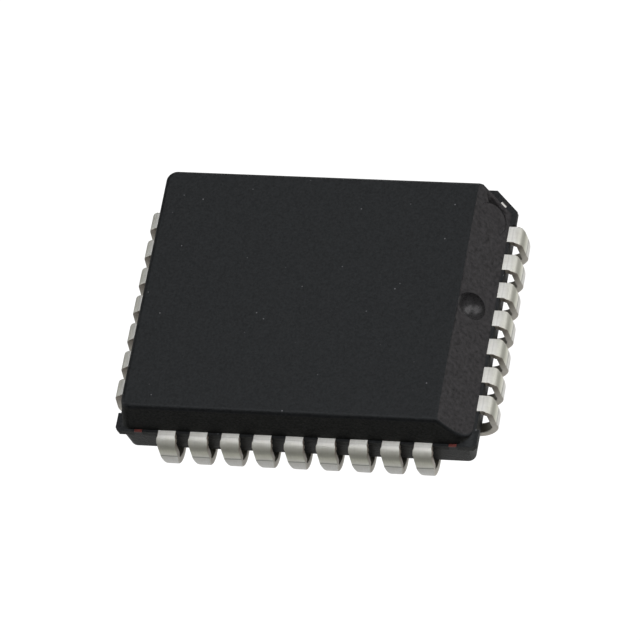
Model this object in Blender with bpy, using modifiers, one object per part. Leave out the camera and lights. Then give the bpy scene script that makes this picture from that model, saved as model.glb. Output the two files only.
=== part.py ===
"""A 32-lead rectangular plastic leaded chip carrier, in metres, +Z up.

The origin is on the seating plane, under the middle of the body. +X points to the short side
that holds pin 1. Pins are numbered anticlockwise seen from above, from the middle of that side.
"""

import math

import bmesh
import bpy
from mathutils import Matrix, Vector

MM = 0.001

# Moulded body
BODY_LENGTH = 13.97 * MM
BODY_WIDTH = 11.43 * MM
LEAD_TOP_HEIGHT = 2.15 * MM
BODY_ABOVE_LEADS = 1.23 * MM
BODY_BELOW_LEADS = 1.43 * MM
UPPER_INSET = 0.045 * MM
SIDE_DRAFT = math.radians(14)
END_DRAFT = math.radians(7.5)
LOWER_DRAFT = math.radians(6)
PIN_ONE_BEVEL = math.radians(46)
CORNER_CHAMFER = 1.0 * MM
UPPER_CORNER_RADIUS = 0.42 * MM
BEVEL_CORNER_RADIUS = 0.70 * MM
LOWER_CORNER_RADIUS = 0.30 * MM
TOP_EDGE_ROUNDING = 0.15 * MM
BEVEL_RIM_RADIUS = 0.15 * MM
BASE_EDGE_ROUNDING = 0.08 * MM

# Parting line: the thin flange left between the mould halves, with an ear at each corner
FLANGE_REACH = 0.06 * MM
EAR_REACH = 0.17 * MM
EAR_LENGTH = 0.74 * MM
EAR_BEVEL = 0.15 * MM
PIN_ONE_EAR_REACH = 0.16 * MM
PIN_ONE_EAR_LENGTH = 1.48 * MM
PIN_ONE_EAR_STEP = 0.2 * MM

# Marks that the mould leaves
DIMPLE_RADIUS = 0.57 * MM
DIMPLE_OFF_BEVEL = 0.10 * MM
DIMPLE_BELOW_TOP = 0.525 * MM
DIMPLE_ALONG_BEVEL = 0.06 * MM
EJECTOR_RADIUS = 0.7 * MM
EJECTOR_DEPTH = 0.03 * MM
EJECTOR_ALONG_BEVEL = 4.08 * MM
BASE_EJECTOR_SPACING = 8.0 * MM

# Leads
LEAD_PITCH = 1.27 * MM
LEAST_CORNER_MARGIN = 1.90 * MM
LEAD_THICKNESS = 0.25 * MM
LEAD_WIDTH = 0.71 * MM
LEAD_REACH = 0.575 * MM
SHOULDER_RADIUS = 0.40 * MM
LEG_LEAN = math.radians(4)
FOOT_RADIUS = 1.0 * MM
FOOT_WIDTH = 0.45 * MM
FOOT_TAPER_START = 0.10 * MM
FOOT_TAPER_LENGTH = 0.65 * MM
FOOT_FLAT = math.radians(14)
TIP_CURL = math.radians(50)
STUB_WIDTH = 0.77 * MM
STUB_START = math.radians(12)
STUB_LENGTH = 0.20 * MM
STUB_RAMP = 0.06 * MM

# Fingers, the stretch of each lead inside the plastic
LOCK_WIDTH = 0.90 * MM
LOCK_DEPTH = 0.25 * MM
LOCK_LENGTH = 0.20 * MM
LOCK_RAMP = 0.12 * MM
FINGER_WIDTH = 0.46 * MM
FINGER_FAN_DEPTH = 0.80 * MM
FINGER_TIP_WIDTH = 0.36 * MM
FINGER_TO_PADDLE = 0.35 * MM
TIP_FROM_PADDLE_CORNER = 0.45 * MM

# Die paddle, its tie bars, and the die on it
PADDLE_LENGTH = 6.8 * MM
PADDLE_WIDTH = 5.2 * MM
PADDLE_DOWNSET = 0.20 * MM
TIE_BAR_WIDTH = 0.30 * MM
TIE_BAR_RAMP = 0.35 * MM
TIE_BAR_FROM_CORNER = 0.755 * MM
TIE_BAR_STRAIGHT = 0.90 * MM
PIN_ONE_TIE_BAR_SHIFT = 0.10 * MM
MITRE_LIMIT = 0.5
ATTACH_THICKNESS = 0.05 * MM
ATTACH_MARGIN = 0.12 * MM
DIE_LENGTH = 4.2 * MM
DIE_WIDTH = 3.6 * MM
DIE_THICKNESS = 0.36 * MM

# Bond wires
WIRE_DIAMETER = 0.03 * MM
BALL_DIAMETER = 0.075 * MM
BALL_HEIGHT = 0.02 * MM
LOOP_HEIGHT = 0.22 * MM
LOOP_PEAK_SHARE = 0.06
LOOP_MIDDLE_SHARE = 0.45
LOOP_MIDDLE_HEIGHT_SHARE = 0.75
LOOP_DESCENT_SHARE = 0.85
LOOP_DESCENT_HEIGHT_SHARE = 0.4
PAD_INSET = 0.15 * MM
PAD_FROM_DIE_CORNER = 0.45 * MM
STITCH_FROM_TIP = 0.25 * MM

# Clearance between the plastic and what it holds, and between stacked layers
CLEARANCE = 0.01 * MM

# How many flat faces stand for each round stretch
CORNER_SEGMENTS = 4
EDGE_SEGMENTS = 3
RIM_SEGMENTS = 2
BEND_SEGMENTS = 5
FOOT_SEGMENTS = 6
TIP_SEGMENTS = 3
ROUND_SEGMENTS = 24
BALL_RINGS = 12

# Values that follow from those above
LEADS_LONG_SIDE = 1 + math.floor((BODY_LENGTH - 2 * LEAST_CORNER_MARGIN) / LEAD_PITCH)
LEADS_SHORT_SIDE = 1 + math.floor((BODY_WIDTH - 2 * LEAST_CORNER_MARGIN) / LEAD_PITCH)
HALF_LENGTH = BODY_LENGTH / 2
HALF_WIDTH = BODY_WIDTH / 2
LEAD_BOTTOM_HEIGHT = LEAD_TOP_HEIGHT - LEAD_THICKNESS
LEAD_MIDDLE_HEIGHT = LEAD_TOP_HEIGHT - LEAD_THICKNESS / 2
BODY_TOP = LEAD_TOP_HEIGHT + BODY_ABOVE_LEADS
BODY_BASE = LEAD_TOP_HEIGHT - BODY_BELOW_LEADS
PADDLE_TOP = LEAD_TOP_HEIGHT - PADDLE_DOWNSET
ATTACH_BASE = PADDLE_TOP + CLEARANCE
DIE_BASE = ATTACH_BASE + ATTACH_THICKNESS + CLEARANCE
DIE_TOP = DIE_BASE + DIE_THICKNESS
DIAGONAL = math.sqrt(0.5)
PIN_ONE_EAR_SUM = HALF_LENGTH + HALF_WIDTH - CORNER_CHAMFER + PIN_ONE_EAR_STEP / DIAGONAL
HALF_OVERLAP = FLANGE_REACH / 2
PASS_THROUGH = 0.5 * MM
MERGE = 0.00001 * MM
ON_PLANE = 0.001 * MM


# Scene and material helpers


def clear_scene():
    for old in list(bpy.data.objects):
        bpy.data.objects.remove(old, do_unlink=True)


def new_collection(name, parent=None):
    made = bpy.data.collections.new(name)
    (parent or bpy.context.scene.collection).children.link(made)
    return made


def principled(name, colour, roughness, metallic):
    material = bpy.data.materials.new(name)
    material.use_nodes = True
    shader = material.node_tree.nodes["Principled BSDF"]
    shader.inputs["Base Color"].default_value = (*colour, 1.0)
    shader.inputs["Roughness"].default_value = roughness
    shader.inputs["Metallic"].default_value = metallic
    material.diffuse_color = (*colour, 1.0)
    return material


def object_from(bm, name, collection):
    """Turns a bmesh into a linked object with its faces pointing out."""
    bmesh.ops.recalc_face_normals(bm, faces=bm.faces[:])
    mesh = bpy.data.meshes.new(name)
    bm.to_mesh(mesh)
    bm.free()
    made = bpy.data.objects.new(name, mesh)
    collection.objects.link(made)
    return made


def as_cutter(made):
    made.hide_render = True
    made.display_type = "WIRE"
    return made


def boolean(target, operation, tool):
    """Adds an exact Boolean with one object, or with all the objects of a collection."""
    modifier = target.modifiers.new(f"{operation.lower()}_{tool.name}", "BOOLEAN")
    modifier.operation = operation
    modifier.solver = "EXACT"
    if isinstance(tool, bpy.types.Collection):
        modifier.operand_type = "COLLECTION"
        modifier.collection = tool
    else:
        modifier.object = tool


def thicken(target, thickness):
    """Gives a sheet its thickness, half to each side."""
    modifier = target.modifiers.new("sheet_thickness", "SOLIDIFY")
    modifier.thickness = thickness
    modifier.offset = 0.0
    modifier.use_even_offset = True


def dress(made, material, parent):
    made.data.materials.append(material)
    made.data.shade_smooth()
    made.data.set_sharp_from_angle(angle=math.radians(35))
    made.parent = parent


# Solid shapes


def box(half_x, half_y, low, high):
    bm = bmesh.new()
    place = Matrix.Translation((0, 0, (low + high) / 2))
    size = Matrix.Diagonal((2 * half_x, 2 * half_y, high - low, 1))
    bmesh.ops.create_cube(bm, size=1.0, matrix=place @ size)
    return bm


def slice_off(bm, point, normal):
    """Cuts a convex solid by a plane and keeps what lies behind it."""
    everything = bm.verts[:] + bm.edges[:] + bm.faces[:]
    cut = bmesh.ops.bisect_plane(
        bm, geom=everything, dist=MERGE, plane_co=point, plane_no=normal, clear_outer=True
    )
    rim = [part for part in cut["geom_cut"] if isinstance(part, bmesh.types.BMEdge)]
    bmesh.ops.holes_fill(bm, edges=rim, sides=0)


def round_edges(bm, edges, width, segments):
    bmesh.ops.bevel(
        bm,
        geom=edges,
        offset=width,
        offset_type="OFFSET",
        segments=segments,
        profile=0.5,
        affect="EDGES",
        clamp_overlap=False,
    )


def edges_at_height(bm, height):
    return [e for e in bm.edges if all(abs(v.co.z - height) < ON_PLANE for v in e.verts)]


def soften_rim(bm, point, normal, radius, segments):
    """Rounds the rim of a convex solid's flat face with planes that touch the rounding."""
    rim = []
    for edge in bm.edges:
        if all(abs((vert.co - point).dot(normal)) < ON_PLANE for vert in edge.verts):
            beside = min((face.normal for face in edge.link_faces), key=normal.dot)
            rim.append((edge.verts[0].co.copy(), beside.copy()))
    for corner, beside in rim:
        middle = (normal + beside).normalized()
        centre = corner - middle * radius / middle.dot(normal)
        for turn in range(segments):
            touching = normal.slerp(beside, (turn + 0.5) / segments)
            slice_off(bm, centre + touching * radius, touching)


def round_corner(bm, sign_x, sign_y, radius):
    """Rounds the upright edge of one corner."""
    edges = []
    for edge in bm.edges:
        low, high = (vert.co for vert in edge.verts)
        climbs = abs(high.z - low.z) > DIAGONAL * (high - low).length
        if climbs and low.x * sign_x > 0 and low.y * sign_y > 0:
            edges.append(edge)
    round_edges(bm, edges, radius, CORNER_SEGMENTS)


def chamfer_corner(bm, height, draft, inset):
    """Cuts the pin-1 corner off by a plane that leans in by the draft above or below height."""
    point = Vector((HALF_LENGTH - CORNER_CHAMFER, HALF_WIDTH, height))
    point -= Vector((DIAGONAL, DIAGONAL, 0)) * inset
    out = DIAGONAL * math.cos(draft)
    slice_off(bm, point, (out, out, math.sin(draft)))


def ball_ended_pin(centre, radius, top):
    """An upright round pin that ends below in half a ball round the centre."""
    bm = bmesh.new()
    bmesh.ops.create_uvsphere(
        bm,
        u_segments=ROUND_SEGMENTS,
        v_segments=BALL_RINGS,
        radius=radius,
        matrix=Matrix.Translation(centre),
    )
    upper = [vert for vert in bm.verts if vert.co.z > centre.z + MERGE]
    bmesh.ops.delete(bm, geom=upper, context="VERTS")
    rim = [edge for edge in bm.edges if edge.is_boundary]
    drawn = bmesh.ops.extrude_edge_only(bm, edges=rim)["geom"]
    lifted = [part for part in drawn if isinstance(part, bmesh.types.BMVert)]
    bmesh.ops.translate(bm, verts=lifted, vec=(0, 0, top - centre.z))
    rim = [edge for edge in bm.edges if edge.is_boundary]
    bmesh.ops.holes_fill(bm, edges=rim, sides=0)
    return bm


# Moulded body


def draft_sides(bm, height, side_draft, end_draft, inset):
    """Leans the sides and ends in above a height, or below it where a draft is negative."""
    for way in (1, -1):
        end = (way * math.cos(end_draft), 0, math.sin(end_draft))
        slice_off(bm, (way * (HALF_LENGTH - inset), 0, height), end)
        side = (0, way * math.cos(side_draft), math.sin(side_draft))
        slice_off(bm, (0, way * (HALF_WIDTH - inset), height), side)


def upper_half(collection):
    """The top moulding, a little smaller than the bottom one, with the bevel on its pin-1 side."""
    start = LEAD_TOP_HEIGHT - HALF_OVERLAP
    bm = box(HALF_LENGTH + FLANGE_REACH, HALF_WIDTH + FLANGE_REACH, start, BODY_TOP)
    draft_sides(bm, LEAD_TOP_HEIGHT, SIDE_DRAFT, END_DRAFT, UPPER_INSET)
    round_corner(bm, -1, 1, UPPER_CORNER_RADIUS)
    round_corner(bm, -1, -1, UPPER_CORNER_RADIUS)
    round_corner(bm, 1, -1, BEVEL_CORNER_RADIUS)
    round_edges(bm, edges_at_height(bm, BODY_TOP), TOP_EDGE_ROUNDING, EDGE_SEGMENTS)
    bevel_foot = Vector((HALF_LENGTH - UPPER_INSET, 0, LEAD_TOP_HEIGHT))
    bevel = Vector((math.sin(PIN_ONE_BEVEL), 0, math.cos(PIN_ONE_BEVEL)))
    slice_off(bm, bevel_foot, bevel)
    soften_rim(bm, bevel_foot, bevel, BEVEL_RIM_RADIUS, RIM_SEGMENTS)
    chamfer_corner(bm, LEAD_TOP_HEIGHT, SIDE_DRAFT, UPPER_INSET)
    return object_from(bm, "moulded_body", collection)


def lower_half(collection):
    """The bottom moulding, drafted on all sides."""
    end = LEAD_BOTTOM_HEIGHT + HALF_OVERLAP
    bm = box(HALF_LENGTH + FLANGE_REACH, HALF_WIDTH + FLANGE_REACH, BODY_BASE, end)
    draft_sides(bm, LEAD_BOTTOM_HEIGHT, -LOWER_DRAFT, -LOWER_DRAFT, 0)
    for sign_x, sign_y in ((-1, 1), (-1, -1), (1, -1)):
        round_corner(bm, sign_x, sign_y, LOWER_CORNER_RADIUS)
    round_edges(bm, edges_at_height(bm, BODY_BASE), BASE_EDGE_ROUNDING, 1)
    chamfer_corner(bm, LEAD_BOTTOM_HEIGHT, -LOWER_DRAFT, 0)
    return as_cutter(object_from(bm, "lower_half", collection))


def flange_outline():
    """The plan of the flange, anticlockwise from the pin-1 ear."""
    side_x = HALF_LENGTH + FLANGE_REACH
    side_y = HALF_WIDTH + FLANGE_REACH
    ear_start = HALF_WIDTH - EAR_LENGTH
    ear_x = HALF_LENGTH + EAR_REACH
    first_start = HALF_WIDTH - PIN_ONE_EAR_LENGTH
    first_x = HALF_LENGTH + PIN_ONE_EAR_REACH
    outline = [
        (side_x, first_start),
        (first_x, first_start),
        (first_x, PIN_ONE_EAR_SUM - first_x),
        (PIN_ONE_EAR_SUM - side_y, side_y),
    ]
    plain_corner = [
        (ear_x - EAR_BEVEL, side_y),
        (ear_x, side_y - EAR_BEVEL),
        (ear_x, ear_start),
        (side_x, ear_start),
    ]
    outline += [(-x, y) for x, y in plain_corner]
    outline += [(-x, -y) for x, y in reversed(plain_corner)]
    outline += [(x, -y) for x, y in plain_corner]
    return outline


def parting_flange(collection):
    bm = bmesh.new()
    corners = [bm.verts.new((x, y, LEAD_BOTTOM_HEIGHT)) for x, y in flange_outline()]
    base = bm.faces.new(corners)
    raised = bmesh.ops.extrude_face_region(bm, geom=[base])["geom"]
    lifted = [part for part in raised if isinstance(part, bmesh.types.BMVert)]
    bmesh.ops.translate(bm, verts=lifted, vec=(0, 0, LEAD_THICKNESS))
    return as_cutter(object_from(bm, "parting_flange", collection))


def on_bevel(below_top, y):
    """A point of the bevel's face that far below the top, and the turn that faces it."""
    drop = BODY_ABOVE_LEADS - below_top
    x = HALF_LENGTH - UPPER_INSET - drop / math.tan(PIN_ONE_BEVEL)
    turn = Matrix.Rotation(PIN_ONE_BEVEL, 4, "Y")
    return Matrix.Translation((x, y, BODY_TOP - below_top)) @ turn


def dimple(collection):
    """The pin of the mould that leaves the pin-1 dish in the bevel."""
    centre = on_bevel(DIMPLE_BELOW_TOP, DIMPLE_ALONG_BEVEL) @ Vector((0, 0, DIMPLE_OFF_BEVEL))
    bm = ball_ended_pin(centre, DIMPLE_RADIUS, BODY_TOP + PASS_THROUGH)
    return as_cutter(object_from(bm, "dimple", collection))


def ejector_mark(name, place, collection):
    """A flat disc that leaves a shallow round mark where a pin pushed the part out."""
    bm = bmesh.new()
    bmesh.ops.create_cone(
        bm,
        cap_ends=True,
        segments=ROUND_SEGMENTS,
        radius1=EJECTOR_RADIUS,
        radius2=EJECTOR_RADIUS,
        depth=2 * EJECTOR_DEPTH,
        matrix=place,
    )
    return as_cutter(object_from(bm, name, collection))


def mould_marks(collection):
    dimple(collection)
    on_face = on_bevel(BODY_ABOVE_LEADS / 2, EJECTOR_ALONG_BEVEL)
    ejector_mark("ejector_on_bevel", on_face, collection)
    for side in (1, -1):
        under = Matrix.Translation((side * BASE_EJECTOR_SPACING / 2, 0, BODY_BASE))
        ejector_mark(f"ejector_under_{side:+d}", under, collection)


# Leads


def strip(stations, name, collection):
    """An open sheet through stations, each a middle point and a half width along local Y."""
    bm = bmesh.new()
    pairs = []
    for point, half_width in stations:
        left = bm.verts.new(point + Vector((0, half_width, 0)))
        right = bm.verts.new(point - Vector((0, half_width, 0)))
        pairs.append((left, right))
    for (left, right), (next_left, next_right) in zip(pairs, pairs[1:]):
        bm.faces.new((left, right, next_right, next_left))
    return object_from(bm, name, collection)


def even_steps(start, end, count):
    return [start + (end - start) * index / count for index in range(count + 1)]


class FormedLead:
    """Where each point of the flat blank lands once the lead is formed.

    Distances run along the middle of the sheet, from the body's wall outwards. A place is
    (distance out from the wall, height above the seating plane).
    """

    def __init__(self):
        self.bend_radius = SHOULDER_RADIUS - LEAD_THICKNESS / 2
        self.foot_radius = FOOT_RADIUS - LEAD_THICKNESS / 2
        self.bend_angle = math.radians(90) - LEG_LEAN
        self.foot_angle = math.radians(90) + LEG_LEAN + TIP_CURL
        bend_drop = self.bend_radius * (1 - math.cos(self.bend_angle))
        bend_out = self.bend_radius * math.sin(self.bend_angle)
        foot_centre = self.foot_radius * math.cos(FOOT_FLAT / 2) + LEAD_THICKNESS / 2
        foot_start = foot_centre + self.foot_radius * math.sin(LEG_LEAN)
        self.leg = (LEAD_MIDDLE_HEIGHT - bend_drop - foot_start) / math.cos(LEG_LEAN)
        foot_bulge = self.foot_radius * (1 - math.cos(LEG_LEAN)) + LEAD_THICKNESS / 2
        self.shoulder = LEAD_REACH - foot_bulge - self.leg * math.sin(LEG_LEAN) - bend_out
        self.bend_end = self.shoulder + self.bend_radius * self.bend_angle
        self.foot_start = self.bend_end + self.leg
        self.tip = self.foot_start + self.foot_radius * self.foot_angle

    def place(self, distance):
        """Follows the shoulder, the bend, the leg and the foot in turn."""
        if distance <= self.shoulder:
            return distance, LEAD_MIDDLE_HEIGHT
        turned = min((distance - self.shoulder) / self.bend_radius, self.bend_angle)
        out = self.shoulder + self.bend_radius * math.sin(turned)
        height = LEAD_MIDDLE_HEIGHT - self.bend_radius * (1 - math.cos(turned))
        down = min(max(distance - self.bend_end, 0), self.leg)
        out += down * math.sin(LEG_LEAN)
        height -= down * math.cos(LEG_LEAN)
        curled = max(distance - self.foot_start, 0) / self.foot_radius
        out += self.foot_radius * (math.cos(LEG_LEAN - curled) - math.cos(LEG_LEAN))
        height += self.foot_radius * (math.sin(LEG_LEAN - curled) - math.sin(LEG_LEAN))
        return out, height

    def forming_stations(self):
        """Distances where the formed part changes direction, with the leg's widest point."""
        to_flat = math.radians(90) + LEG_LEAN - FOOT_FLAT / 2
        bends = even_steps(0, self.bend_angle, BEND_SEGMENTS)
        curls = [0] + even_steps(LEG_LEAN, to_flat, FOOT_SEGMENTS)
        curls += even_steps(to_flat + FOOT_FLAT, self.foot_angle, TIP_SEGMENTS)
        stations = [self.shoulder + self.bend_radius * bend for bend in bends]
        return stations + [self.foot_start + self.foot_radius * curl for curl in curls]

    def outer_blank(self):
        """(distance, width) corners of the blank outside the wall."""
        stub = self.shoulder + self.bend_radius * STUB_START
        taper = self.foot_start - FOOT_TAPER_START
        return [
            (0, LEAD_WIDTH),
            (stub, LEAD_WIDTH),
            (stub + STUB_RAMP, STUB_WIDTH),
            (stub + STUB_LENGTH, STUB_WIDTH),
            (stub + STUB_LENGTH + STUB_RAMP, LEAD_WIDTH),
            (taper, LEAD_WIDTH),
            (taper + FOOT_TAPER_LENGTH, FOOT_WIDTH),
            (self.tip, FOOT_WIDTH),
        ]


def inner_blank(finger_length):
    """(distance, width) corners of the blank inside the plastic, from the tip to the wall."""
    lock_end = -LOCK_DEPTH - LOCK_RAMP
    lock_start = lock_end - LOCK_LENGTH
    return [
        (-finger_length, FINGER_TIP_WIDTH),
        (-FINGER_FAN_DEPTH, FINGER_WIDTH),
        (lock_start - LOCK_RAMP, FINGER_WIDTH),
        (lock_start, LOCK_WIDTH),
        (lock_end, LOCK_WIDTH),
        (lock_end + LOCK_RAMP, LEAD_WIDTH),
    ]


def between(corners, distance):
    """The width at a distance, read along straight runs between the blank's corners."""
    for (low, low_width), (high, high_width) in zip(corners, corners[1:]):
        if low <= distance <= high:
            share = (distance - low) / (high - low)
            return low_width + share * (high_width - low_width)
    return corners[-1][1]


def fan_shift(distance, finger_length, tip_shift):
    """How far the finger has moved sideways at a distance."""
    run = finger_length - FINGER_FAN_DEPTH
    share = min(max((-distance - FINGER_FAN_DEPTH) / run, 0), 1)
    return tip_shift * share


def lead_stations(form, finger_length, tip_shift):
    corners = inner_blank(finger_length) + form.outer_blank()
    distances = sorted({distance for distance, _ in corners} | set(form.forming_stations()))
    stations = []
    for distance in distances:
        out, height = form.place(distance)
        shift = fan_shift(distance, finger_length, tip_shift)
        stations.append((Vector((out, shift, height)), between(corners, distance) / 2))
    return stations


def lead_cavity_stations(finger_length, tip_shift):
    """The finger's stations with clearance all round, run straight out through the wall."""
    stations = []
    for distance, width in inner_blank(finger_length):
        shift = fan_shift(distance, finger_length, tip_shift)
        reach = distance - (CLEARANCE if distance == -finger_length else 0)
        point = Vector((reach, shift, LEAD_MIDDLE_HEIGHT))
        stations.append((point, width / 2 + CLEARANCE))
    outside = Vector((PASS_THROUGH, 0, LEAD_MIDDLE_HEIGHT))
    stations.append((outside, LEAD_WIDTH / 2 + CLEARANCE))
    return stations


def wire_path(pad, stitch):
    """(point, swelling) from the ball on the die's pad to the stitch in the finger."""
    ball = BALL_DIAMETER / WIRE_DIAMETER
    pad_level = DIE_TOP + CLEARANCE
    peak = DIE_TOP + LOOP_HEIGHT
    middle = DIE_TOP + LOOP_HEIGHT * LOOP_MIDDLE_HEIGHT_SHARE
    descent = LEAD_TOP_HEIGHT + LOOP_HEIGHT * LOOP_DESCENT_HEIGHT_SHARE
    return [
        (Vector((*pad, pad_level)), ball),
        (Vector((*pad, pad_level + BALL_HEIGHT)), ball),
        (Vector((*pad, pad_level + 2 * BALL_HEIGHT)), 1.0),
        (Vector((*pad.lerp(stitch, LOOP_PEAK_SHARE), peak)), 1.0),
        (Vector((*pad.lerp(stitch, LOOP_MIDDLE_SHARE), middle)), 1.0),
        (Vector((*pad.lerp(stitch, LOOP_DESCENT_SHARE), descent)), 1.0),
        (Vector((*stitch, LEAD_TOP_HEIGHT - WIRE_DIAMETER)), 1.0),
    ]


def wire(name, path, extra, collection):
    """A thin square-section wire, drawn as a curve and made a mesh for the Booleans."""
    curve = bpy.data.curves.new(name, "CURVE")
    curve.dimensions = "3D"
    curve.bevel_depth = WIRE_DIAMETER / 2
    curve.bevel_resolution = 0
    curve.use_fill_caps = True
    spline = curve.splines.new("POLY")
    spline.points.add(len(path) - 1)
    for point, (place, swelling) in zip(spline.points, path):
        point.co = (*place, 1.0)
        point.radius = swelling + extra / curve.bevel_depth
    drawn = bpy.data.objects.new(f"{name}_curve", curve)
    collection.objects.link(drawn)
    graph = bpy.context.evaluated_depsgraph_get()
    mesh = bpy.data.meshes.new_from_object(drawn.evaluated_get(graph))
    bpy.data.objects.remove(drawn, do_unlink=True)
    bm = bmesh.new()
    bm.from_mesh(mesh)
    bpy.data.meshes.remove(mesh)
    bmesh.ops.remove_doubles(bm, verts=bm.verts, dist=MERGE)
    return as_cutter(object_from(bm, name, collection))


class Side:
    """One side of the package. Local X points out of the wall, and local Y along it."""

    def __init__(self, angle, on_long_side):
        self.angle = angle
        if on_long_side:
            self.leads, self.wall = LEADS_LONG_SIDE, HALF_WIDTH
            self.paddle, self.paddle_along = PADDLE_WIDTH / 2, PADDLE_LENGTH / 2
            self.die, self.die_along = DIE_WIDTH / 2, DIE_LENGTH / 2
        else:
            self.leads, self.wall = LEADS_SHORT_SIDE, HALF_LENGTH
            self.paddle, self.paddle_along = PADDLE_LENGTH / 2, PADDLE_WIDTH / 2
            self.die, self.die_along = DIE_LENGTH / 2, DIE_WIDTH / 2
        self.finger = self.wall - self.paddle - FINGER_TO_PADDLE

    def seats(self):
        """For each lead: its place along the wall, its tip's, and its pad's on the die."""
        last = (self.leads - 1) / 2
        tip_pitch = (self.paddle_along - TIP_FROM_PADDLE_CORNER) / last
        pad_pitch = (self.die_along - PAD_FROM_DIE_CORNER) / last
        for index in range(self.leads):
            step = index - last
            yield step * LEAD_PITCH, step * tip_pitch, step * pad_pitch

    def stand(self, made, along):
        made.location = Matrix.Rotation(self.angle, 3, "Z") @ Vector((self.wall, along, 0))
        made.rotation_euler.z = self.angle


def make_lead(number, side, seat, form, collections):
    """One lead with its bond wire, and the cavity that both leave in the plastic."""
    parts, wires, cavities = collections
    along, tip_along, pad_along = seat
    tip_shift = tip_along - along
    name = f"lead_{number:02d}"
    lead = strip(lead_stations(form, side.finger, tip_shift), name, parts)
    thicken(lead, LEAD_THICKNESS)
    hollow = strip(lead_cavity_stations(side.finger, tip_shift), f"hollow_{name}", cavities)
    thicken(as_cutter(hollow), LEAD_THICKNESS + 2 * CLEARANCE)

    stitch_out = STITCH_FROM_TIP - side.finger
    stitch_shift = fan_shift(stitch_out, side.finger, tip_shift)
    pad = Vector((side.die - PAD_INSET - side.wall, pad_along - along))
    path = wire_path(pad, Vector((stitch_out, stitch_shift)))
    gold = wire(f"wire_{number:02d}", path, 0, wires)
    tunnel = wire(f"hollow_wire_{number:02d}", path, CLEARANCE, cavities)
    boolean(lead, "UNION", gold)
    for made in (lead, hollow, gold, tunnel):
        side.stand(made, along)
    return lead


# Die paddle and die


def tie_bar_end(sign_x, sign_y):
    """Where a tie bar is cut off, in plan, and the direction in which it gets there."""
    if sign_x > 0 and sign_y > 0:
        skew = HALF_LENGTH - HALF_WIDTH
        middle = Vector((PIN_ONE_EAR_SUM + skew, PIN_ONE_EAR_SUM - skew)) / 2
        along = Vector((DIAGONAL, -DIAGONAL))
        return middle + along * PIN_ONE_TIE_BAR_SHIFT, Vector((DIAGONAL, DIAGONAL))
    end_x = sign_x * (HALF_LENGTH - TIE_BAR_FROM_CORNER)
    return Vector((end_x, sign_y * (HALF_WIDTH + FLANGE_REACH))), Vector((0, sign_y))


def tie_bar_route(sign_x, sign_y, grow, reach):
    """Middle points of a tie bar in plan, from the paddle's cut corner to its own cut end."""
    outward = Vector((sign_x, sign_y)) * DIAGONAL
    corner = Vector((sign_x * (PADDLE_LENGTH / 2 + grow), sign_y * (PADDLE_WIDTH / 2 + grow)))
    start = corner - outward * (TIE_BAR_WIDTH / 2 + grow)
    end, away = tie_bar_end(sign_x, sign_y)
    straight = end - away * TIE_BAR_STRAIGHT
    return [start, start + outward * TIE_BAR_RAMP, straight, end + away * reach]


def mitred(route, half_width):
    """Left and right points along a route in plan, square to its ends and mitred between."""
    sides = []
    for index, point in enumerate(route):
        before = route[max(index - 1, 0)]
        after = route[min(index + 1, len(route) - 1)]
        arriving = (point - before if index else after - point).normalized()
        leaving = (after - point if index < len(route) - 1 else arriving).normalized()
        along = (arriving + leaving).normalized()
        square = Vector((-along.y, along.x)) / max(along.dot(arriving), MITRE_LIMIT)
        sides.append((point + square * half_width, point - square * half_width))
    return sides


def paddle_sheet(name, grow, reach, collection):
    """The downset paddle and its four tie bars as one folded sheet, drawn at mid thickness."""
    low = PADDLE_TOP - LEAD_THICKNESS / 2
    bm = bmesh.new()
    ring = []
    for sign_x, sign_y in ((1, 1), (-1, 1), (-1, -1), (1, -1)):
        route = tie_bar_route(sign_x, sign_y, grow, reach)
        sides = mitred(route, TIE_BAR_WIDTH / 2 + grow)
        heights = [low] + [LEAD_MIDDLE_HEIGHT] * (len(sides) - 1)
        rows = []
        for (left, right), height in zip(sides, heights):
            rows.append((bm.verts.new((*left, height)), bm.verts.new((*right, height))))
        for (left, right), (next_left, next_right) in zip(rows, rows[1:]):
            bm.faces.new((left, right, next_right, next_left))
        ring += [rows[0][1], rows[0][0]]
    bm.faces.new(ring)
    return object_from(bm, name, collection)


def make_paddle(parts, cavities):
    paddle = paddle_sheet("die_paddle", 0, 0, parts)
    thicken(paddle, LEAD_THICKNESS)
    hollow = paddle_sheet("hollow_paddle", CLEARANCE, PASS_THROUGH, cavities)
    thicken(as_cutter(hollow), LEAD_THICKNESS + 2 * CLEARANCE)
    return paddle


def make_layer(name, half_x, half_y, low, high, parts, cavities):
    """A flat layer of the die stack, and the pocket that it leaves in the plastic."""
    layer = object_from(box(half_x, half_y, low, high), name, parts)
    grown = box(half_x + CLEARANCE, half_y + CLEARANCE, low - CLEARANCE, high + CLEARANCE)
    as_cutter(object_from(grown, f"hollow_{name}", cavities))
    return layer


def make_body(parts, lower, marks, cavities):
    body = upper_half(parts)
    parting_flange(lower)
    lower_half(lower)
    mould_marks(marks)
    boolean(body, "UNION", lower)
    boolean(body, "DIFFERENCE", marks)
    boolean(body, "DIFFERENCE", cavities)
    return body


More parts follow.
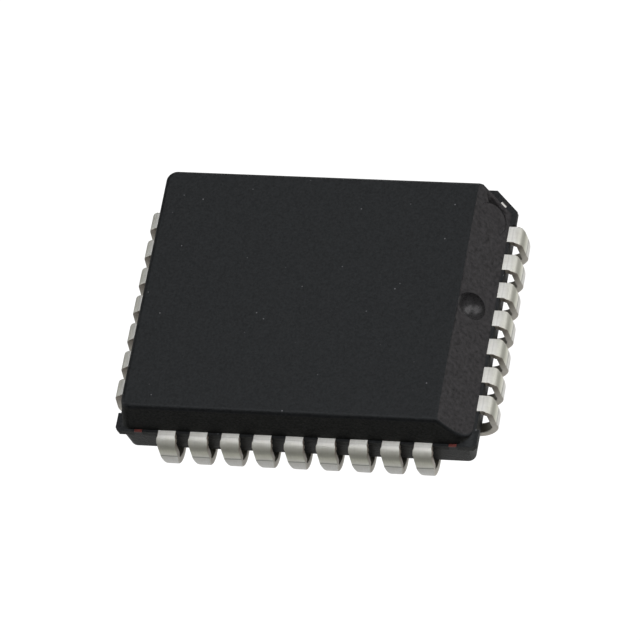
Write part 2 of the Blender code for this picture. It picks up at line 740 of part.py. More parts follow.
def main():
    clear_scene()
    parts = new_collection("plcc_chip")
    construction = new_collection("construction")
    wires = new_collection("bond_wires", construction)
    lower = new_collection("below_parting_line", construction)
    marks = new_collection("mould_marks", construction)
    cavities = new_collection("cavities", construction)

    frame = bpy.data.objects.new("seating_plane", None)
    parts.objects.link(frame)

    epoxy = principled("black_epoxy", (0.021, 0.021, 0.024), 0.62, 0.0)
    tin = principled("tin_plate", (0.62, 0.60, 0.56), 0.38, 1.0)
    copper = principled("copper", (0.55, 0.24, 0.17), 0.35, 1.0)
    glue = principled("die_attach_epoxy", (0.45, 0.43, 0.38), 0.6, 0.0)
    silicon = principled("silicon", (0.10, 0.11, 0.13), 0.2, 0.6)

    form = FormedLead()
    quarter = math.radians(90)
    sides = [Side(index * quarter, index % 2 == 1) for index in range(4)]
    lead_count = sum(side.leads for side in sides)
    counted = 0
    for side in sides:
        for seat in side.seats():
            number = (counted - LEADS_SHORT_SIDE // 2) % lead_count + 1
            lead = make_lead(number, side, seat, form, (parts, wires, cavities))
            dress(lead, tin, frame)
            counted += 1

    dress(make_paddle(parts, cavities), copper, frame)
    attach = make_layer(
        "die_attach",
        DIE_LENGTH / 2 + ATTACH_MARGIN,
        DIE_WIDTH / 2 + ATTACH_MARGIN,
        ATTACH_BASE,
        ATTACH_BASE + ATTACH_THICKNESS,
        parts,
        cavities,
    )
    dress(attach, glue, frame)
    die = make_layer(
        "silicon_die", DIE_LENGTH / 2, DIE_WIDTH / 2, DIE_BASE, DIE_TOP, parts, cavities
    )
    dress(die, silicon, frame)
    dress(make_body(parts, lower, marks, cavities), epoxy, frame)


main()
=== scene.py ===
"""The dressed 32-lead plastic leaded chip carrier, in metres, +Z up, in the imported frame.

The moulding and the leads are made again at a finer grain than the solids they stand for.
The paddle, the die and its glue keep their solids and get their finish.
"""

import math

import bmesh
import bpy
from mathutils import Matrix, Vector


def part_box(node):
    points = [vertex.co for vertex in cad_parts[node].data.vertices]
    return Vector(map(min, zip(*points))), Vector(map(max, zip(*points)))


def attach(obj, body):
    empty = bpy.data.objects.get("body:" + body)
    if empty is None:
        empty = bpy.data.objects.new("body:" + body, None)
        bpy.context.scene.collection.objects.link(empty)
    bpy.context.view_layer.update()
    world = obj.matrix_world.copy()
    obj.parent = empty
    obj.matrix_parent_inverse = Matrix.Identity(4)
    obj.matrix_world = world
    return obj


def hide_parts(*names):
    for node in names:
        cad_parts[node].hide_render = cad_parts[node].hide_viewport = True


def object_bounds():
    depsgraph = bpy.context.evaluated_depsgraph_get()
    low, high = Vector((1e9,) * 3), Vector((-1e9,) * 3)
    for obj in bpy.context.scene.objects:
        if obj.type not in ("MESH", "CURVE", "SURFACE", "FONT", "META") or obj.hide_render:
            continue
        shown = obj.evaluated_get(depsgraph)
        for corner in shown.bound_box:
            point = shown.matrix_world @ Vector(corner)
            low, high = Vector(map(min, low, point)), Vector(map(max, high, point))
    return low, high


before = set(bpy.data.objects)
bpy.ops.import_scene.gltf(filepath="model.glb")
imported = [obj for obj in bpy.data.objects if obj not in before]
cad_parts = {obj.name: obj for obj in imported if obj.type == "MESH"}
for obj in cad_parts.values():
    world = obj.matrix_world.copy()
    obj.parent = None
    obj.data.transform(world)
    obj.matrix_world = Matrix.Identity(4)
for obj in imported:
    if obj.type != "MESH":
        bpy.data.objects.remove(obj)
cad_low, cad_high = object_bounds()

MM = 0.001

# Moulded body
BODY_LENGTH = 13.97 * MM
BODY_WIDTH = 11.43 * MM
LEAD_TOP_HEIGHT = 2.15 * MM
BODY_ABOVE_LEADS = 1.23 * MM
BODY_BELOW_LEADS = 1.43 * MM
UPPER_INSET = 0.045 * MM
SIDE_DRAFT = math.radians(14)
END_DRAFT = math.radians(7.5)
LOWER_DRAFT = math.radians(6)
PIN_ONE_BEVEL = math.radians(46)
CORNER_CHAMFER = 1.0 * MM
UPPER_CORNER_RADIUS = 0.42 * MM
BEVEL_CORNER_RADIUS = 0.70 * MM
LOWER_CORNER_RADIUS = 0.30 * MM
TOP_EDGE_ROUNDING = 0.15 * MM
BEVEL_RIM_RADIUS = 0.15 * MM
BASE_EDGE_ROUNDING = 0.08 * MM

# Parting line
FLANGE_REACH = 0.06 * MM
EAR_REACH = 0.17 * MM
EAR_LENGTH = 0.74 * MM
EAR_BEVEL = 0.15 * MM
PIN_ONE_EAR_REACH = 0.16 * MM
PIN_ONE_EAR_LENGTH = 1.48 * MM
PIN_ONE_EAR_STEP = 0.2 * MM

# Marks that the mould leaves
DIMPLE_RADIUS = 0.57 * MM
DIMPLE_OFF_BEVEL = 0.10 * MM
DIMPLE_BELOW_TOP = 0.525 * MM
DIMPLE_ALONG_BEVEL = 0.06 * MM
EJECTOR_RADIUS = 0.7 * MM
EJECTOR_DEPTH = 0.03 * MM
EJECTOR_ALONG_BEVEL = 4.08 * MM
BASE_EJECTOR_SPACING = 8.0 * MM

# Leads
LEAD_PITCH = 1.27 * MM
LEADS_LONG_SIDE = 9
LEADS_SHORT_SIDE = 7
LEAD_THICKNESS = 0.25 * MM
LEAD_WIDTH = 0.71 * MM
LEAD_REACH = 0.575 * MM
LEAD_EDGE_SOFTNESS = 0.022 * MM
SHOULDER_RADIUS = 0.40 * MM
LEG_LEAN = math.radians(4)
FOOT_RADIUS = 1.0 * MM
FOOT_WIDTH = 0.45 * MM
FOOT_TAPER_START = 0.10 * MM
FOOT_TAPER_LENGTH = 0.65 * MM
FOOT_FLAT = math.radians(14)
TIP_CURL = math.radians(50)
STUB_WIDTH = 0.77 * MM
STUB_START = math.radians(12)
STUB_LENGTH = 0.20 * MM
STUB_RAMP = 0.06 * MM

# Fingers, the stretch of each lead inside the plastic
LOCK_WIDTH = 0.90 * MM
LOCK_DEPTH = 0.25 * MM
LOCK_LENGTH = 0.20 * MM
LOCK_RAMP = 0.12 * MM
FINGER_WIDTH = 0.46 * MM
FINGER_FAN_DEPTH = 0.80 * MM
FINGER_TIP_WIDTH = 0.36 * MM
FINGER_TO_PADDLE = 0.35 * MM
TIP_FROM_PADDLE_CORNER = 0.45 * MM

# Die stack and bond wires
PADDLE_LENGTH = 6.8 * MM
PADDLE_WIDTH = 5.2 * MM
WIRE_DIAMETER = 0.03 * MM
BALL_DIAMETER = 0.075 * MM
BALL_HEIGHT = 0.02 * MM
LOOP_HEIGHT = 0.22 * MM
LOOP_PEAK_SHARE = 0.06
LOOP_MIDDLE_SHARE = 0.45
LOOP_MIDDLE_HEIGHT_SHARE = 0.75
LOOP_DESCENT_SHARE = 0.85
LOOP_DESCENT_HEIGHT_SHARE = 0.4
PAD_INSET = 0.15 * MM
PAD_FROM_DIE_CORNER = 0.45 * MM
STITCH_FROM_TIP = 0.25 * MM
CLEARANCE = 0.01 * MM

# How finely round stretches are drawn, and where shading breaks
CORNER_SEGMENTS = 14
EDGE_SEGMENTS = 7
RIM_SEGMENTS = 5
BEND_SEGMENTS = 14
FOOT_SEGMENTS = 17
TIP_SEGMENTS = 8
SHEET_EDGE_SEGMENTS = 3
ROUND_SEGMENTS = 96
BALL_RINGS = 48
WIRE_ROUNDING = 2
LEAD_SHARP_ANGLE = math.radians(40)
BODY_SHARP_ANGLE = math.radians(32)
FLAT_FACE_WEIGHT = 80

# Light: round soft lights, and a floor that shines a little close round the part
LIGHTS = {
    "overhead": {"place": (0.0, 0.0, 0.40), "size": 0.50, "glow": 1.65},
    "behind": {"place": (-0.100, 0.249, 0.297), "size": 0.28, "glow": 0.35},
    "right": {"place": (0.320, 0.0, 0.240), "size": 0.28, "glow": 2.25},
    "right_low": {"place": (0.336, 0.192, 0.100), "size": 0.28, "glow": 2.1},
    "low_behind": {"place": (0.0, 0.38, 0.07), "size": 0.28, "glow": 1.5},
    "low_left": {"place": (-0.38, 0.0, 0.07), "size": 0.28, "glow": 2.0},
    "low_front": {"place": (-0.10, -0.37, 0.10), "size": 0.28, "glow": 0.24},
    "low_front_right": {"place": (0.29, -0.24, 0.08), "size": 0.28, "glow": 0.30},
}
SKY_STRENGTH = 0.02
FLOOR_HALF_SIZE = 0.6
FLOOR_GREY = 0.33
FLOOR_ROUGHNESS = 0.9
FLOOR_GLOW = 1.1
FLOOR_SHINE = 0.50
FLOOR_SHINE_FADE = 2.5 * MM

# Noise in all the finishes, which mostly lies between a low and a high value
NOISE_LOW = 0.3
NOISE_HIGH = 0.7
FINE_DETAIL = 4.0
ROUGH_NOISE = 0.6

# Moulding compound: its pigment, shine and grain on each kind of face, and what they share. The
# kinds of face are set apart by how they face, so their copies also paint light and shade: the
# walls less shiny and darker, the bevel paler and browner, and the dimple far paler, a painted lit
# hollow
EPOXY_FINISHES_AND_PAINTED_LIGHT = {
    "top": {"paleness": 0.002, "shine": 0.39, "tint": (0.90, 0.95, 1.0), "specks": 0.02},
    "bevel": {
        "paleness": 0.003,
        "shine": 0.40,
        "tint": (1.0, 0.95, 0.98),
        "contrast": 0.5,
        "grain_size": 0.16 * MM,
    },
    "wall": {"paleness": 0.002, "shine": 0.31, "tint": (0.97, 1.0, 0.95), "contrast": 0.4},
    # The dimple's copy is far paler, a painted lit hollow, and it also goes on the ejector mark's
    # step
    "dimple": {"paleness": 0.032, "shine": 0.50, "tint": (1.0, 0.98, 1.0), "roughness": 0.30},
}
EPOXY_CLOUD = 1.6 * MM
EPOXY_CLOUD_SHARE = 0.3
EPOXY_VARIETY = 0.3
EPOXY_PITS = 0.3 * MM
EPOXY_PIT_DEPTH = 0.6
EPOXY_RELIEF = 0.05 * MM
EPOXY_GLOSS_CHANGE = 0.06
SPECK_SPACING = 0.16 * MM
SPECK_CORE = 0.12
SPECK_RIM = 0.22
SPECK_COLOUR = (0.16, 0.16, 0.17)

# Tin plate, each colour from dark to light. Its map runs from -1 to 1 across the sheet and in
# millimetres along it, and the face inside the bends is shifted across, where it is painted in
# shade.
TIN_FACE = ((0.80, 0.785, 0.735), (0.95, 0.95, 0.92))
TIN_LEG_EDGE = ((0.28, 0.245, 0.20), (0.39, 0.35, 0.30))
TIN_FOOT_EDGE = ((0.47, 0.44, 0.38), (0.64, 0.61, 0.54))
# Painted shade on the face inside the bends, which stands for the shade and the dark body reflected
# in it
TIN_INSIDE_PAINTED_SHADE = ((0.20, 0.185, 0.145), (0.29, 0.27, 0.22))
TIN_EDGE_ACROSS = (0.95, 0.985)
TIN_EDGE_PALING = (0.5, 1.0)
INSIDE_SHIFT = 3
TIN_INSIDE_SHADE_ACROSS = (INSIDE_SHIFT / 2 - 0.1, INSIDE_SHIFT / 2 + 0.1)
TIN_STREAK = 0.05
TIN_STREAK_SCALE = (0.4, 0.12, 1.0)
TIN_STREAK_BUMP = 0.5
TIN_MOTTLE = 0.25 * MM
TIN_MOTTLE_SHARE = 0.6
TIN_WANDER = 0.02
TIN_WANDER_SIZE = 0.8 * MM
TIN_GRAIN = 0.03 * MM
TIN_METALLIC = 0.32
TIN_ROUGHNESS = (0.40, 0.52)

# How pale and how blue the tin is at distances along the blank from the wall, partly as forming
# rubs it and partly painted light and shade, such as the darker band round the bend and the
# narrow dark line at 1.06 mm, which is a painted shadow
TIN_TONES_AND_PAINTED_SHADE = (
    (0.00, 0.86, 1.00),
    (0.09, 0.90, 1.00),
    (0.12, 0.76, 1.00),
    (0.16, 0.86, 1.00),
    (0.33, 0.68, 0.94),
    (0.46, 0.53, 0.90),
    (0.58, 0.56, 0.88),
    (0.72, 0.81, 0.88),
    (0.90, 1.00, 0.93),
    (1.02, 1.00, 0.95),
    (1.06, 0.24, 0.95),
    (1.10, 0.89, 0.97),
    (1.30, 0.97, 1.00),
)

# The other metals, each colour from dark to light
METAL_BUMP = 0.4
METAL_RELIEF = 0.004 * MM
METAL_SMOOTHER = 0.05
METAL_ROUGHER = 0.08
METAL_FINENESS = 6
COPPER_RED = ((0.08, 0.012, 0.009), (0.17, 0.034, 0.027))
COPPER_BLACK_BELOW_TOP = (0.002, 0.0015, 0.001)
COPPER_METALLIC = 0.3
# Painted dark reflection and painted white glint on the pin-1 tie bar's top
PAINTED_GLINT_ON_DARK = ((0.010, 0.009, 0.008), (0.90, 0.88, 0.84))
GOLD = ((0.80, 0.55, 0.22), (0.90, 0.66, 0.30))
SILVER_GLUE = ((0.45, 0.43, 0.38), (0.55, 0.53, 0.48))
SILICON = ((0.09, 0.10, 0.12), (0.13, 0.14, 0.17))

# Camera, fitted to the photograph
LENS_MM = 397.01
SENSOR_MM = 36.0
CAMERA_PLACE = Vector((68.029, -135.576, 229.399)) * MM
CAMERA_AIM = Vector((0.1141, -0.4208, 2.15)) * MM
CAMERA_ROLL = math.radians(-20.229)
CAMERA_NEAR = 0.01
CAMERA_FAR = 2.0

# Values that follow from those above
HALF_LENGTH = BODY_LENGTH / 2
HALF_WIDTH = BODY_WIDTH / 2
LEAD_BOTTOM_HEIGHT = LEAD_TOP_HEIGHT - LEAD_THICKNESS
LEAD_MIDDLE_HEIGHT = LEAD_TOP_HEIGHT - LEAD_THICKNESS / 2
BODY_TOP = LEAD_TOP_HEIGHT + BODY_ABOVE_LEADS
BODY_BASE = LEAD_TOP_HEIGHT - BODY_BELOW_LEADS
DIAGONAL = math.sqrt(0.5)
BEVEL_FOOT = Vector((HALF_LENGTH - UPPER_INSET, 0, LEAD_TOP_HEIGHT))
BEVEL_NORMAL = Vector((math.sin(PIN_ONE_BEVEL), 0, math.cos(PIN_ONE_BEVEL)))
CHAMFER_SUM = HALF_LENGTH + HALF_WIDTH - CORNER_CHAMFER
PIN_ONE_EAR_SUM = CHAMFER_SUM + PIN_ONE_EAR_STEP / DIAGONAL
HALF_OVERLAP = FLANGE_REACH / 2
PASS_THROUGH = 0.5 * MM
MERGE = 0.00001 * MM
ON_PLANE = 0.001 * MM
SAME_CORNER = 0.0002 * MM
FLAT_ANGLE = math.radians(0.2)
DIE_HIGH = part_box("silicon_die")[1]

# Where the copper turns black, below a wavy line just under its top face, and where at pin 1 its
# top is painted dark with a painted white glint
BLACK_BELOW_HEIGHT = LEAD_TOP_HEIGHT - 0.03 * MM
BLACK_FADE = 0.03 * MM
BLACK_LINE_WANDER_SIZE = 0.08 * MM
BLACK_LINE_WANDER = 0.02 * MM
PAINTED_GLINT_START = CHAMFER_SUM - 0.3 * MM
PAINTED_GLINT_FADE = 0.1 * MM
PAINTED_GLINT_END = CHAMFER_SUM
PAINTED_GLINT_END_FADE = 0.06 * MM

# Which faces of the body get which finish, and so which painted light and shade, by where they lie
# and how squarely they face
DIMPLE_MARGIN = 1.01
EJECTOR_MARGIN = 1.05
STEP_FACING = 0.5
BEVEL_FACING = 0.97
WALL_FACING = math.sin(math.radians(20))


# Mesh helpers


def object_from(bm, name):
    bmesh.ops.recalc_face_normals(bm, faces=bm.faces[:])
    mesh = bpy.data.meshes.new(name)
    bm.to_mesh(mesh)
    bm.free()
    made = bpy.data.objects.new(name, mesh)
    bpy.context.scene.collection.objects.link(made)
    return made


def baked(made, name):
    """A plain mesh object with the modifiers and the placing of another, which goes away."""
    graph = bpy.context.evaluated_depsgraph_get()
    mesh = bpy.data.meshes.new_from_object(made.evaluated_get(graph))
    mesh.transform(made.matrix_world)
    bpy.data.objects.remove(made, do_unlink=True)
    mesh.name = name
    plain = bpy.data.objects.new(name, mesh)
    bpy.context.scene.collection.objects.link(plain)
    return plain


def boolean(target, operation, tools):
    """Adds an exact Boolean with several objects together, which copes with touching ones."""
    group = bpy.data.collections.new(f"{operation.lower()}_tools")
    for tool in tools:
        group.objects.link(tool)
    modifier = target.modifiers.new(operation.lower(), "BOOLEAN")
    modifier.operation = operation
    modifier.solver = "EXACT"
    modifier.use_hole_tolerant = True
    modifier.operand_type = "COLLECTION"
    modifier.collection = group
    return group


def smooth_shading(made, sharp_angle):
    """Smooth roundings that leave the flats between them flat."""
    made.data.shade_smooth()
    made.data.set_sharp_from_angle(angle=sharp_angle)
    modifier = made.modifiers.new("flat_faces_stay_flat", "WEIGHTED_NORMAL")
    modifier.keep_sharp = True
    modifier.weight = FLAT_FACE_WEIGHT


def even_steps(start, end, count):
    return [start + (end - start) * index / count for index in range(count + 1)]


# Solid shapes


def box(half_x, half_y, low, high):
    bm = bmesh.new()
    place = Matrix.Translation((0, 0, (low + high) / 2))
    size = Matrix.Diagonal((2 * half_x, 2 * half_y, high - low, 1))
    bmesh.ops.create_cube(bm, size=1.0, matrix=place @ size)
    return bm


def slice_off(bm, point, normal):
    """Cuts a convex solid by a plane and keeps what lies behind it."""
    everything = bm.verts[:] + bm.edges[:] + bm.faces[:]
    cut = bmesh.ops.bisect_plane(
        bm, geom=everything, dist=MERGE, plane_co=point, plane_no=normal, clear_outer=True
    )
    rim = [part for part in cut["geom_cut"] if isinstance(part, bmesh.types.BMEdge)]
    bmesh.ops.holes_fill(bm, edges=rim, sides=0)


def round_edges(bm, edges, width, segments):
    bmesh.ops.bevel(
        bm,
        geom=edges,
        offset=width,
        offset_type="OFFSET",
        segments=segments,
        profile=0.5,
        affect="EDGES",
        clamp_overlap=False,
    )


def edges_at_height(bm, height):
    return [e for e in bm.edges if all(abs(v.co.z - height) < ON_PLANE for v in e.verts)]


def soften_rim(bm, point, normal, radius, segments):
    """Rounds the rim of a convex solid's flat face with planes that touch the rounding."""
    rim = []
    for edge in bm.edges:
        if all(abs((vert.co - point).dot(normal)) < ON_PLANE for vert in edge.verts):
            beside = min((face.normal for face in edge.link_faces), key=normal.dot)
            rim.append((edge.verts[0].co.copy(), beside.copy()))
    for corner, beside in rim:
        middle = (normal + beside).normalized()
        centre = corner - middle * radius / middle.dot(normal)
        for turn in range(segments):
            touching = normal.slerp(beside, (turn + 0.5) / segments)
            slice_off(bm, centre + touching * radius, touching)


def closed_convex(bm):
    """The closed solid that spans the corners of a convex one after many slices."""
    solid = bmesh.new()
    for vert in bm.verts:
        solid.verts.new(vert.co)
    bm.free()
    bmesh.ops.remove_doubles(solid, verts=solid.verts, dist=SAME_CORNER)
    spanned = bmesh.ops.convex_hull(solid, input=solid.verts)
    spare = {part for part in spanned["geom_interior"] if isinstance(part, bmesh.types.BMVert)}
    bmesh.ops.delete(solid, geom=list(spare), context="VERTS")
    bmesh.ops.dissolve_limit(solid, angle_limit=FLAT_ANGLE, verts=solid.verts, edges=solid.edges)
    return solid


def round_corner(bm, sign_x, sign_y, radius):
    """Rounds the upright edge of one corner."""
    edges = []
    for edge in bm.edges:
        low, high = (vert.co for vert in edge.verts)
        climbs = abs(high.z - low.z) > DIAGONAL * (high - low).length
        if climbs and low.x * sign_x > 0 and low.y * sign_y > 0:
            edges.append(edge)
    round_edges(bm, edges, radius, CORNER_SEGMENTS)


def chamfer_corner(bm, height, draft, inset):
    """Cuts the pin-1 corner off by a plane that leans in by the draft above or below height."""
    point = Vector((HALF_LENGTH - CORNER_CHAMFER, HALF_WIDTH, height))
    point -= Vector((DIAGONAL, DIAGONAL, 0)) * inset
    out = DIAGONAL * math.cos(draft)
    slice_off(bm, point, (out, out, math.sin(draft)))


def ball_ended_pin(centre, radius, top):
    """An upright round pin that ends below in half a ball round the centre."""
    bm = bmesh.new()
    bmesh.ops.create_uvsphere(
        bm,
        u_segments=ROUND_SEGMENTS,
        v_segments=BALL_RINGS,
        radius=radius,
        matrix=Matrix.Translation(centre),
    )
    upper = [vert for vert in bm.verts if vert.co.z > centre.z + MERGE]
    bmesh.ops.delete(bm, geom=upper, context="VERTS")
    rim = [edge for edge in bm.edges if edge.is_boundary]
    drawn = bmesh.ops.extrude_edge_only(bm, edges=rim)["geom"]
    lifted = [part for part in drawn if isinstance(part, bmesh.types.BMVert)]
    bmesh.ops.translate(bm, verts=lifted, vec=(0, 0, top - centre.z))
    rim = [edge for edge in bm.edges if edge.is_boundary]
    bmesh.ops.holes_fill(bm, edges=rim, sides=0)
    return bm


# Moulded body


def draft_sides(bm, height, side_draft, end_draft, inset):
    """Leans the sides and ends in above a height, or below it where a draft is negative."""
    for way in (1, -1):
        end = (way * math.cos(end_draft), 0, math.sin(end_draft))
        slice_off(bm, (way * (HALF_LENGTH - inset), 0, height), end)
        side = (0, way * math.cos(side_draft), math.sin(side_draft))
        slice_off(bm, (0, way * (HALF_WIDTH - inset), height), side)


def upper_half():
    """The top moulding, a little smaller than the bottom one, with the bevel on its pin-1 side."""
    start = LEAD_TOP_HEIGHT - HALF_OVERLAP
    bm = box(HALF_LENGTH + FLANGE_REACH, HALF_WIDTH + FLANGE_REACH, start, BODY_TOP)
    draft_sides(bm, LEAD_TOP_HEIGHT, SIDE_DRAFT, END_DRAFT, UPPER_INSET)
    round_corner(bm, -1, 1, UPPER_CORNER_RADIUS)
    round_corner(bm, -1, -1, UPPER_CORNER_RADIUS)
    round_corner(bm, 1, -1, BEVEL_CORNER_RADIUS)
    round_edges(bm, edges_at_height(bm, BODY_TOP), TOP_EDGE_ROUNDING, EDGE_SEGMENTS)
    slice_off(bm, BEVEL_FOOT, BEVEL_NORMAL)
    soften_rim(bm, BEVEL_FOOT, BEVEL_NORMAL, BEVEL_RIM_RADIUS, RIM_SEGMENTS)
    chamfer_corner(bm, LEAD_TOP_HEIGHT, SIDE_DRAFT, UPPER_INSET)
    return object_from(closed_convex(bm), "upper_half")


def lower_half():
    """The bottom moulding, drafted on all sides."""
    end = LEAD_BOTTOM_HEIGHT + HALF_OVERLAP
    bm = box(HALF_LENGTH + FLANGE_REACH, HALF_WIDTH + FLANGE_REACH, BODY_BASE, end)
    draft_sides(bm, LEAD_BOTTOM_HEIGHT, -LOWER_DRAFT, -LOWER_DRAFT, 0)
    for sign_x, sign_y in ((-1, 1), (-1, -1), (1, -1)):
        round_corner(bm, sign_x, sign_y, LOWER_CORNER_RADIUS)
    round_edges(bm, edges_at_height(bm, BODY_BASE), BASE_EDGE_ROUNDING, EDGE_SEGMENTS)
    chamfer_corner(bm, LEAD_BOTTOM_HEIGHT, -LOWER_DRAFT, 0)
    return object_from(bm, "lower_half")


def flange_outline():
    """The plan of the flange, anticlockwise from the pin-1 ear."""
    side_x = HALF_LENGTH + FLANGE_REACH
    side_y = HALF_WIDTH + FLANGE_REACH
    ear_start = HALF_WIDTH - EAR_LENGTH
    ear_x = HALF_LENGTH + EAR_REACH
    first_start = HALF_WIDTH - PIN_ONE_EAR_LENGTH
    first_x = HALF_LENGTH + PIN_ONE_EAR_REACH
    outline = [
        (side_x, first_start),
        (first_x, first_start),
        (first_x, PIN_ONE_EAR_SUM - first_x),
        (PIN_ONE_EAR_SUM - side_y, side_y),
    ]
    plain_corner = [
        (ear_x - EAR_BEVEL, side_y),
        (ear_x, side_y - EAR_BEVEL),
        (ear_x, ear_start),
        (side_x, ear_start),
    ]
    outline += [(-x, y) for x, y in plain_corner]
    outline += [(-x, -y) for x, y in reversed(plain_corner)]
    outline += [(x, -y) for x, y in plain_corner]
    return outline


def parting_flange():
    bm = bmesh.new()
    corners = [bm.verts.new((x, y, LEAD_BOTTOM_HEIGHT)) for x, y in flange_outline()]
    base = bm.faces.new(corners)
    raised = bmesh.ops.extrude_face_region(bm, geom=[base])["geom"]
    lifted = [part for part in raised if isinstance(part, bmesh.types.BMVert)]
    bmesh.ops.translate(bm, verts=lifted, vec=(0, 0, LEAD_THICKNESS))
    return object_from(bm, "parting_flange")


def on_bevel(below_top, y):
    """A point of the bevel's face that far below the top, and the turn that faces it."""
    drop = BODY_ABOVE_LEADS - below_top
    x = HALF_LENGTH - UPPER_INSET - drop / math.tan(PIN_ONE_BEVEL)
    turn = Matrix.Rotation(PIN_ONE_BEVEL, 4, "Y")
    return Matrix.Translation((x, y, BODY_TOP - below_top)) @ turn


def dimple_centre():
    return on_bevel(DIMPLE_BELOW_TOP, DIMPLE_ALONG_BEVEL) @ Vector((0, 0, DIMPLE_OFF_BEVEL))


def dimple():
    """The pin of the mould that leaves the pin-1 dish in the bevel."""
    pin = ball_ended_pin(dimple_centre(), DIMPLE_RADIUS, BODY_TOP + PASS_THROUGH)
    return object_from(pin, "dimple")


def ejector_place():
    return on_bevel(BODY_ABOVE_LEADS / 2, EJECTOR_ALONG_BEVEL)


def ejector_mark(place):
    """A flat disc that leaves a shallow round mark where a pin pushed the part out."""
    bm = bmesh.new()
    bmesh.ops.create_cone(
        bm,
        cap_ends=True,
        segments=ROUND_SEGMENTS,
        radius1=EJECTOR_RADIUS,
        radius2=EJECTOR_RADIUS,
        depth=2 * EJECTOR_DEPTH,
        matrix=place,
    )
    return object_from(bm, "ejector_mark")


def mould_marks():
    marks = [dimple(), ejector_mark(ejector_place())]
    for side in (1, -1):
        under = Matrix.Translation((side * BASE_EJECTOR_SPACING / 2, 0, BODY_BASE))
        marks.append(ejector_mark(under))
    return marks


def cavity_from_node(name):
    """The hollow that one of the solids leaves in the plastic, grown by the clearance."""
    made = bpy.data.objects.new(f"hollow_{name}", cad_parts[name].data.copy())
    bpy.context.scene.collection.objects.link(made)
    bm = bmesh.new()
    bm.from_mesh(made.data)
    bmesh.ops.remove_doubles(bm, verts=bm.verts, dist=ON_PLANE)
    bm.normal_update()
    for vert in bm.verts:
        vert.co += vert.normal * CLEARANCE * vert.calc_shell_factor()
    bm.to_mesh(made.data)
    bm.free()
    return made


# Leads


def cross_section(half_width):
    """The rounded outline of the sheet, cut across, as (across, through) places."""
    flat = half_width - LEAD_EDGE_SOFTNESS
    half_thickness = LEAD_THICKNESS / 2 - LEAD_EDGE_SOFTNESS
    outline = []
    for quarter, (side, face) in enumerate(((1, 1), (-1, 1), (-1, -1), (1, -1))):
        start = quarter * math.pi / 2
        for turn in even_steps(start, start + math.pi / 2, SHEET_EDGE_SEGMENTS):
            across = side * flat + LEAD_EDGE_SOFTNESS * math.cos(turn)
            through = face * half_thickness + LEAD_EDGE_SOFTNESS * math.sin(turn)
            outline.append((across, through))
    return outline


def formed_sheet(stations, name):
    """A closed sheet with soft edges through its stations.

    Each station is (middle point, turn from level, half width, distance along the blank). The
    map runs from -1 to 1 across the sheet, and in millimetres along it. The face inside the
    bends has a stretch of the map of its own, shifted across, where the tin is painted in shade.
    """
    bm = bmesh.new()
    chart = bm.loops.layers.uv.new("across_and_along")
    # The face after the section's third rounding is the one inside the bends
    inside = 3 * (SHEET_EDGE_SEGMENTS + 1) - 1
    rings = []
    for point, turned, half_width, distance in stations:
        up = Vector((math.sin(turned), 0, math.cos(turned)))
        ring = []
        for across, through in cross_section(half_width):
            vert = bm.verts.new(point + Vector((0, across, 0)) + up * through)
            ring.append((vert, (across / half_width, distance / MM)))
        rings.append(ring)
    for ring, following in zip(rings, rings[1:]):
        for index in range(len(ring)):
            after = (index + 1) % len(ring)
            shift = INSIDE_SHIFT if index == inside else 0
            corners = (ring[index], ring[after], following[after], following[index])
            face = bm.faces.new([vert for vert, _ in corners])
            for loop, (_, (across, along)) in zip(face.loops, corners):
                loop[chart].uv = (across + shift, along)
    for ring in (rings[0], rings[-1]):
        bm.faces.new([vert for vert, _ in ring])
    return object_from(bm, name)


